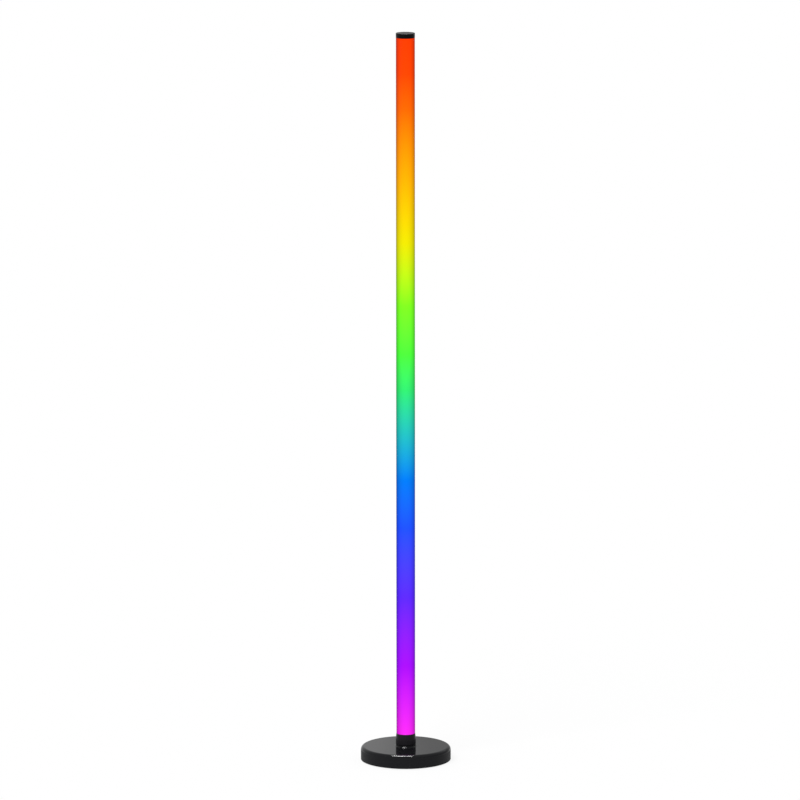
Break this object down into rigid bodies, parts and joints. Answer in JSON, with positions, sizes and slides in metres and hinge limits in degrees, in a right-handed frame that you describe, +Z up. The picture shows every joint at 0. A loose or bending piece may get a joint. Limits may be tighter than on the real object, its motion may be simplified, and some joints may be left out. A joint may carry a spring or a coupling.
{
  "type": "corner floor lamp",
  "caption": "Tall slim round LED floor lamp: an opal tube that glows in a vertical rainbow, with a low black cap, a short collar and a heavy round base.",
  "frame": {"origin": "centre of the foot pad's underside, on the floor, on the tube's axis", "axes": "+Z up along the tube, +Y towards the rear, where the power inlet is, and +X to the right seen from the front"},
  "size_m": [0.172, 0.172, 1.4],
  "materials": {
    "shell_black": "gloss",
    "cap_black": "satin",
    "plate_black": "matte",
    "pad_rubber": "matte",
    "collar_black": "satin",
    "weight_iron": "matte",
    "stem_steel": "satin",
    "screw_steel": "satin",
    "inlet_black": "satin",
    "contact_brass": "satin",
    "lead_insulation": "satin",
    "board_green": "satin",
    "header_white": "satin",
    "chip_black": "matte",
    "can_metal": "satin",
    "core_aluminium": "satin",
    "plug_nylon": "satin",
    "strip_white": "satin",
    "led_package": "satin",
    "spacer_clear": "gloss",
    "diffuser_opal": "satin"
  },
  "bodies": {
    "root": {"foot_pad": "pad_rubber", "bottom_plate": "plate_black", "bottom_plate_screws": "screw_steel", "base_weight": "weight_iron", "base_shell": "shell_black", "stem_nipple": "stem_steel", "stem_washer": "stem_steel", "stem_nut": "stem_steel", "inlet_housing": "inlet_black", "inlet_pin": "contact_brass", "inlet_contact": "contact_brass", "inlet_leads": "lead_insulation", "controller_board": "board_green", "board_screws": "stem_steel", "board_headers": "header_white", "controller_chip": "chip_black", "radio_module": "can_metal", "board_capacitor": "can_metal", "front_strip_leads": "lead_insulation", "rear_strip_leads": "lead_insulation", "collar": "collar_black", "collar_set_screw": "screw_steel", "core_lower": "core_aluminium", "core_middle": "core_aluminium", "core_upper": "core_aluminium", "core_joiner_lower": "stem_steel", "core_joiner_upper": "stem_steel", "joiner_screws": "stem_steel", "core_plug_lower": "plug_nylon", "core_plug_upper": "plug_nylon", "plug_screws": "stem_steel", "led_strip_front": "strip_white", "led_strip_rear": "strip_white", "front_leds": "led_package", "rear_leds": "led_package", "tube_spacers": "spacer_clear", "diffuser_tube": "diffuser_opal", "top_cap": "cap_black"}
  },
  "joints": []
}
